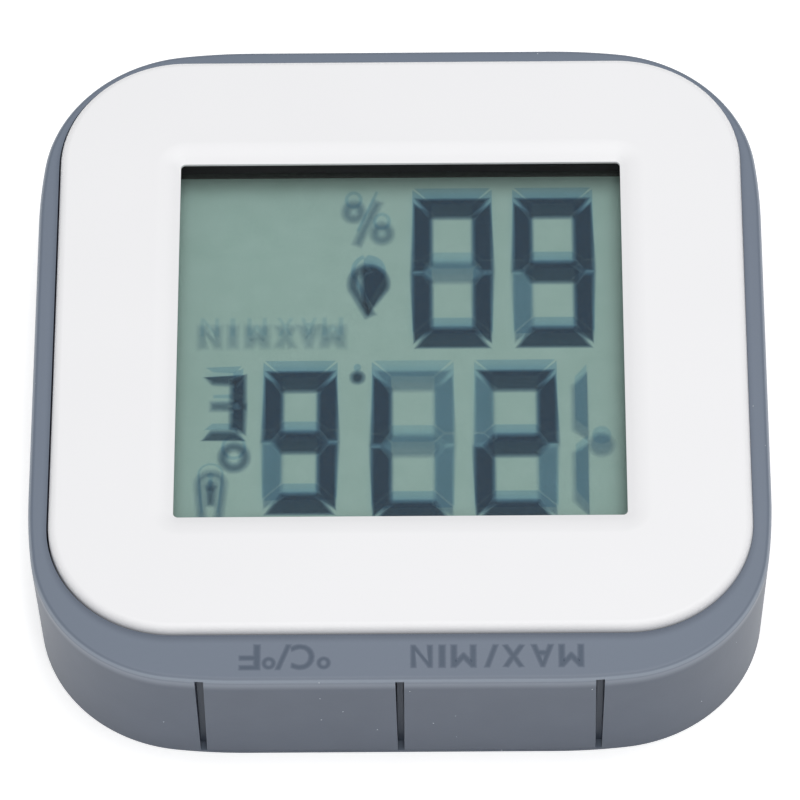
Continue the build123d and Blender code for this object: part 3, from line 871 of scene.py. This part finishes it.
def display_marks(name, material, height, shift, blur, spread, covers=()):
    """Every lit and unlit mark of the display, on one level.

    In millimetres, shift moves the marks along v, blur is the width in which their edges
    fade, and spread makes level bars taller and lifts what stands on them by half of it.
    """
    bm = bmesh.new()
    level = Level(bm, bm.verts.layers.float.new("ink"), height, shift)
    lifted = level._replace(shift=shift + spread / 2)
    draw = {"bar": flat_mark, "ring": ring, "line": stroke}
    for figure, left, right, *middles in big_digits:
        middles = [middle + spread / 2 for middle in middles]
        for letter in "ABCDEFG":
            corners = bar_corners(letter, left, right, *middles, -blur / 2)
            if letter in level_bars:
                corners = thickened(corners, spread)
            flat_mark(level, lit if letter in lit_bars[figure] else faint, corners)
    for kind, amount, *form in small_marks:
        draw[kind](level, amount, *form)
    droplet(lifted)
    for kind, amount, *form in percent_sign:
        draw[kind](lifted, amount, *form)
    for letter, left, right in window_words:
        glyph(level, word_ink, letter, left, right, word_foot, word_cap)
    faded(level, blur * mm)
    return keep(bm, name, material, "case", covers)


def shoulder_words(name, cells, cap, weight, material):
    """Words on the near shoulder: a flat film of painted shade for sunk letters, with the soft edges of a
    moulded letter.
    """
    bm = bmesh.new()
    level = Level(bm, bm.verts.layers.float.new("ink"), sleeve_top + label_lift, 0.0)
    for letter, left, right, share, lift in cells:
        foot = label_v - cap / 2 + lift * cap
        glyph(level, lit, letter, -right, -left, foot, share * cap, weight)
    faded(level, label_fade)
    return keep(bm, name, material)


def studio():
    """A pale floor that is clear from below, two softboxes and an even white surround."""
    bm = bmesh.new()
    bmesh.ops.create_grid(bm, x_segments=1, y_segments=1, size=floor_reach)
    mesh = bpy.data.meshes.new("floor")
    bm.to_mesh(mesh)
    bm.free()
    mesh.transform(Matrix.Translation((0, 0, -floor_gap)))
    floor = bpy.data.objects.new("floor", mesh)
    bpy.context.scene.collection.objects.link(floor)
    # Matt white paper. It gives off light of its own, so that it shades to pure white.
    paper = moulded(
        "white_paper_floor", "#fbfbfb", "#f8f8f8", roughness=0.9, grain=0.5 * mm, relief=0.002 * mm
    )
    tree = paper.node_tree
    surface = tree.nodes["Principled BSDF"]
    surface.inputs["Emission Color"].default_value = linear("#ffffff")
    surface.inputs["Emission Strength"].default_value = floor_glow
    # Clear from below, so that the back can be looked at
    under = add(tree, "NewGeometry").outputs["Backfacing"]
    clear = add(tree, "BsdfTransparent")
    show(tree, add(tree, "MixShader", {0: under, 1: surface.outputs[0], 2: clear.outputs[0]}))
    mesh.materials.append(paper)
    for name, place, size, power in lamps:
        light = bpy.data.lights.new(name, "AREA")
        light.shape = "RECTANGLE"
        light.size, light.size_y = size
        light.energy = power
        lamp = bpy.data.objects.new(name, light)
        lamp.location = place
        lamp.rotation_euler = (Vector(lamp_aim) - Vector(place)).to_track_quat("-Z", "Y").to_euler()
        bpy.context.scene.collection.objects.link(lamp)
    world = bpy.data.worlds.new("white surround")
    world.use_nodes = True
    world.node_tree.nodes["Background"].inputs["Color"].default_value = linear("#ffffff")
    world.node_tree.nodes["Background"].inputs["Strength"].default_value = surround
    bpy.context.scene.world = world
    bpy.context.scene.view_settings.view_transform = "Standard"
    bpy.context.scene.cycles.transparent_max_bounces = clear_bounces


def photograph_camera():
    """The camera of the photograph."""
    flat = math.cos(camera_elevation)
    back = Vector((
        math.sin(camera_azimuth) * flat, -math.cos(camera_azimuth) * flat, math.sin(camera_elevation)
    ))
    level = Vector((math.cos(camera_azimuth), math.sin(camera_azimuth), 0))
    tall = back.cross(level)
    right = level * math.cos(camera_roll) + tall * math.sin(camera_roll)
    up = tall * math.cos(camera_roll) - level * math.sin(camera_roll)
    lens = bpy.data.cameras.new("photograph")
    lens.lens = camera_lens
    lens.sensor_width = camera_sensor
    lens.clip_start = camera_clip
    camera = bpy.data.objects.new("photograph", lens)
    turn = Matrix((right, up, back)).transposed().to_4x4()
    camera.matrix_world = Matrix.Translation(Vector(camera_target) * mm + back * camera_distance) @ turn
    bpy.context.scene.collection.objects.link(camera)
    bpy.context.scene.camera = camera


# Silicone rubber, moulded in a fine-blasted tool: matt, with a painted highlight on its
# rounded arris and upper wall, painted light on its upward faces and painted shade beside the plate; it picks
# up lint.
silicone = moulded(
    "blasted_silicone_rubber", "#535c6b", "#505968", roughness=0.45, grain=0.14 * mm, relief=0.006 * mm,
    # The first colour is the painted highlight on the arris and upper wall, the second the painted light on
    # the faces that look up
    painted_light=("#8f98a5", "#717b8a"), specks=(0.9 * mm, 0.05 * mm, "#c6ccd2"), IOR=1.41,
)
# The lettering is a flat film of painted shade, standing in for sunk letters that less light reaches, with
# soft edges.
lettering_shade = dye_and_shade_film("lettering_painted_shade", "#eff0f2", "#e1e4e7")
# ABS from a polished tool: white, with a satin gloss and hardly any grain.
white_abs = moulded(
    "white_polished_abs", "#f3f3f5", "#f2f2f4", roughness=0.5, grain=0.5 * mm, relief=0.0008 * mm, IOR=1.53
)
# ABS from a spark-eroded tool: dark grey with an even fine pitting.
grey_abs = moulded(
    "spark_textured_abs", "#33373d", "#2f3339", roughness=0.5, grain=0.22 * mm, relief=0.014 * mm, IOR=1.53
)
# Closed-cell foam: black and dull, drinks the light at the bottom of the window.
foam = moulded(
    "black_closed_cell_foam", "#252427", "#1f1e20", roughness=0.85, grain=0.12 * mm, relief=0.02 * mm, IOR=1.4
)
# Polariser with an anti-glare coating: clear from above with a fine sparkle.
anti_glare = clear_sheet(
    "anti_glare_polariser", "#fafcfb", haze=0.03, haze_colour="#c9d6d0", gloss=0.1, gloss_roughness=0.35
)
# Soda-lime glass, 0.7 mm thick: clear and bare, hardly any haze.
glass = clear_sheet(
    "soda_lime_glass", "#fdfefe", haze=0.002, haze_colour="#c9d6d0", gloss=0.03, gloss_roughness=0.05
)
# Liquid crystal seen slantwise is thin and grey; its painted shadow on the film is dark and blue.
crystal_ink = dye_and_shade_film("liquid_crystal_dye", "#e0eff9", "#d4e6f4")
shadow_ink = dye_and_shade_film("segment_shadow", "#d3dbe5", "#8599b0")
# Metallised reflector under its polariser: grey-green with a pearly grain.
reflector = moulded(
    "pearl_reflector_film", "#9cb1ac", "#97ada7", roughness=0.6, grain=0.09 * mm, relief=0.012 * mm, IOR=1.5
)
# ABS, black and moulded plain, as it stays out of sight.
black_abs = moulded(
    "black_moulded_abs", "#16171a", "#131417", roughness=0.45, grain=0.3 * mm, relief=0.004 * mm, IOR=1.53
)
# Zebra strip: silicone with carbon layers, grey and dull.
zebra = moulded(
    "layered_zebra_silicone", "#8d8f92", "#56585c", roughness=0.7, grain=0.1 * mm, relief=0.002 * mm, IOR=1.41
)
# Glass-epoxy board under green solder resist, glossy over a faint weave.
board = moulded(
    "green_solder_resist", "#1b5a34", "#17502e", roughness=0.3, grain=0.4 * mm, relief=0.004 * mm, IOR=1.52
)
# Epoxy that was poured over a chip or a bead: black, glossy and round.
resin = moulded(
    "black_potting_resin", "#0e0e10", "#121214", roughness=0.22, grain=0.6 * mm, relief=0.004 * mm, IOR=1.56
)
# Fired ceramic of chip resistors and capacitors: brown and dry.
ceramic = moulded(
    "fired_chip_ceramic", "#8a6b4a", "#6f5540", roughness=0.55, grain=0.1 * mm, relief=0.003 * mm, IOR=1.6
)
# Alumina plate of the humidity sensor: white and dry.
sensor_ceramic = moulded(
    "alumina_sensor_plate", "#e8e6dc", "#dfddd2", roughness=0.6, grain=0.08 * mm, relief=0.003 * mm, IOR=1.76
)
# Glass-filled nylon of the switches: black, with a dull gloss.
switch_plastic = moulded(
    "black_switch_nylon", "#1a1a1c", "#171719", roughness=0.5, grain=0.2 * mm, relief=0.003 * mm, IOR=1.53
)
# Nickel on pressed steel, brushed a little by handling.
nickel = moulded(
    "nickel_plated_steel", "#c9c8c4", "#bdbcb8", roughness=0.28, grain=0.25 * mm,
    relief=0.001 * mm, metallic=1.0,
)
# Zinc on steel screws: greyer and duller than the nickel.
zinc = moulded(
    "zinc_plated_steel", "#a9abb0", "#9a9ca2", roughness=0.38, grain=0.2 * mm, relief=0.002 * mm, metallic=1.0
)

rubber_sleeve(silicone)
push_flap("unit_flap", -flap_pitch, "unit_button", silicone)
push_flap("max_min_flap", 0, "max_min_button", silicone)
shoulder_words("unit_lettering", unit_cells, unit_cap, unit_weight, lettering_shade)
shoulder_words("max_min_lettering", range_cells, range_cap, range_weight, lettering_shade)
face_plate(white_abs)
merged_copy("back_cover", "grey_back_cover", grey_abs)
merged_copy("battery_door", "coin_battery_door", grey_abs, "door")
merged_copy("stand_leg", "folding_stand", grey_abs, "leg")
window_gasket(foam)
display_marks(
    "segment_marks", crystal_ink, crystal_middle,
    shift=-1.3, blur=0.12, spread=0.0, covers=("liquid_crystal",),
)
# Painted shadow of every mark on the reflector film: darker, blurred, and moved towards the near side
display_marks(
    "segment_shadows", shadow_ink, film_top + shadow_lift,
    shift=-0.78, blur=0.54, spread=0.45,
)

finishes = {
    "front_polariser": anti_glare,
    "lcd_front_glass": glass,
    "lcd_rear_glass": glass,
    "rear_reflector": reflector,
    "lcd_carrier": black_abs,
    "zebra_strip": zebra,
    "circuit_board": board,
    "chip_blob": resin,
    "crystal_can": nickel,
    "chip_parts": ceramic,
    "humidity_sensor": sensor_ceramic,
    "thermistor": resin,
    "unit_switch_body": switch_plastic,
    "unit_switch_plunger": switch_plastic,
    "max_min_switch_body": switch_plastic,
    "max_min_switch_plunger": switch_plastic,
    "coin_cell": nickel,
    "positive_contact": nickel,
    "negative_contact": nickel,
    "case_screws": zinc,
}
for node, finish in finishes.items():
    nodes[node].data.materials.clear()
    nodes[node].data.materials.append(finish)

studio()
photograph_camera()
